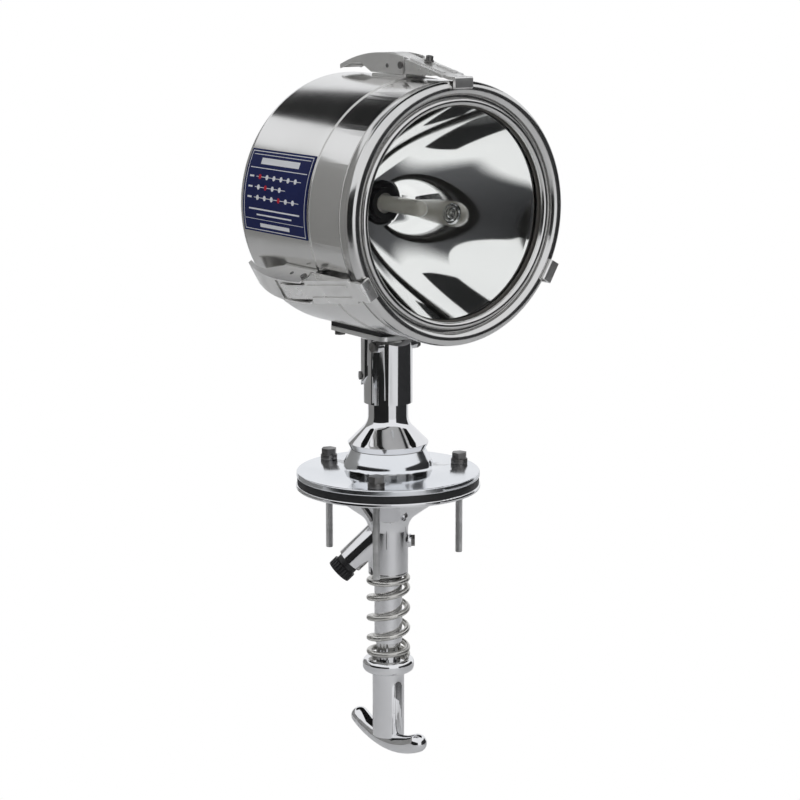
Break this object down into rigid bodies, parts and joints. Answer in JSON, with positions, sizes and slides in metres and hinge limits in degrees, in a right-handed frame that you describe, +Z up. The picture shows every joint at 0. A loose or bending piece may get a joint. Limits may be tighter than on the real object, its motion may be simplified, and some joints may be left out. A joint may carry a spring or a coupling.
{
  "type": "marine searchlight",
  "caption": "Cabin-roof marine searchlight: latched steel drum head on a post, turned and tilted from below by a sprung T-handle.",
  "frame": {"origin": "on the mast axis, on the roof under the gasket", "axes": "+Z up along the mast, beam along -Y, +X to the right when facing +Y"},
  "size_m": [0.214, 0.1729, 0.5677],
  "materials": {
    "bright_steel": "polished stainless",
    "drum_steel": "polished sheet",
    "latch_steel": "pressed stainless sheet",
    "spring_steel": "satin spring wire",
    "bolt_steel": "dark stainless fasteners",
    "rod_steel": "turned steel",
    "bush_bronze": "sintered bronze",
    "washer_nylon": "nylon",
    "black_rubber": "black rubber",
    "black_plastic": "black moulded plastic",
    "mirror_silver": "mirror finish",
    "front_glass": "clear",
    "lamp_cream": "frosted cream",
    "lamp_metal": "bare metal"
  },
  "bodies": {
    "base": {"deck_flange": "bright_steel", "roof_gasket": "black_rubber", "ceiling_flange": "bright_steel", "flange_bolts": "bolt_steel", "bolt_washers": "bolt_steel", "upper_bush": "bush_bronze", "lower_bush": "rod_steel", "thrust_washer": "washer_nylon", "gland_body": "black_plastic", "gland_nut": "black_plastic", "gland_seal": "black_rubber", "friction_screw": "bolt_steel"},
    "mast": {"bell": "bright_steel", "mast_tube": "bright_steel", "retaining_ring": "bolt_steel", "sleeve": "bright_steel", "sleeve_screw": "bolt_steel", "tilt_pin": "bolt_steel", "return_spring": "spring_steel"},
    "handle": {"t_handle": "bright_steel", "push_rod": "rod_steel", "drive_pin": "rod_steel"},
    "head": {"saddle": "drum_steel", "saddle_pads": "black_rubber", "saddle_bolts": "bolt_steel", "saddle_nuts": "bolt_steel", "drum_shell": "drum_steel", "front_barrel": "drum_steel", "bezel_ring": "bright_steel", "front_glass": "front_glass", "glass_gasket": "black_rubber", "reflector": "mirror_silver", "lampholder": "black_plastic", "lamp_cap": "lamp_metal", "lamp_glass": "lamp_cream", "lamp_filament": "lamp_metal", "terminal_block": "washer_nylon", "cable_grommet": "black_rubber", "latch_base_top": "latch_steel", "latch_rivets_top": "bolt_steel", "latch_base_right": "latch_steel", "latch_rivets_right": "bolt_steel", "latch_base_left": "latch_steel", "latch_rivets_left": "bolt_steel"},
    "latch_lever_top": {"latch_lever_top": "latch_steel", "claw_pin_top": "bolt_steel"},
    "claw_top": {"claw_strap_top": "latch_steel"},
    "latch_lever_right": {"latch_lever_right": "latch_steel", "claw_pin_right": "bolt_steel"},
    "claw_right": {"claw_strap_right": "latch_steel"},
    "latch_lever_left": {"latch_lever_left": "latch_steel", "claw_pin_left": "bolt_steel"},
    "claw_left": {"claw_strap_left": "latch_steel"}
  },
  "joints": [
    {"name": "pan", "type": "hinge", "parent": "base", "child": "mast", "pos_m": [0, 0, 0], "axis": [0, 0, 1], "range_deg": [-180, 180]},
    {"name": "head_tilt", "type": "hinge", "parent": "mast", "child": "head", "pos_m": [0, -0.0095, 0.1133], "axis": [1, 0, 0], "range_deg": [0, 28], "stiffness_Nm_per_rad": 12, "springref_deg": -8.02},
    {"name": "handle_push", "type": "slide", "parent": "mast", "child": "handle", "axis": [0, 0, 1], "range_m": [0, 0.0096], "deforming": ["return_spring"]},
    {"name": "latch_lift_top", "type": "hinge", "parent": "head", "child": "latch_lever_top", "pos_m": [0, -0.032, 0.3333], "axis": [1, 0, 0], "range_deg": [0, 75]},
    {"name": "claw_swing_top", "type": "hinge", "parent": "latch_lever_top", "child": "claw_top", "pos_m": [0, -0.014, 0.3323], "axis": [1, 0, 0], "range_deg": [-94, 0]},
    {"name": "latch_lift_right", "type": "hinge", "parent": "head", "child": "latch_lever_right", "pos_m": [0.0944, -0.032, 0.1698], "axis": [-0.5, 0, -0.866], "range_deg": [0, 75]},
    {"name": "claw_swing_right", "type": "hinge", "parent": "latch_lever_right", "child": "claw_right", "pos_m": [0.09353, -0.014, 0.1703], "axis": [-0.5, 0, -0.866], "range_deg": [-94, 0]},
    {"name": "latch_lift_left", "type": "hinge", "parent": "head", "child": "latch_lever_left", "pos_m": [-0.0944, -0.032, 0.1698], "axis": [-0.5, 0, 0.866], "range_deg": [0, 75]},
    {"name": "claw_swing_left", "type": "hinge", "parent": "latch_lever_left", "child": "claw_left", "pos_m": [-0.09353, -0.014, 0.1703], "axis": [-0.5, 0, 0.866], "range_deg": [-94, 0]}
  ],
  "couplings": [
    {"joint": "handle_push", "follows": "head_tilt", "m_per_rad": 0.0194},
    {"joint": "claw_swing_top", "follows": "latch_lift_top", "ratio": -1.25},
    {"joint": "claw_swing_right", "follows": "latch_lift_right", "ratio": -1.25},
    {"joint": "claw_swing_left", "follows": "latch_lift_left", "ratio": -1.25}
  ]
}
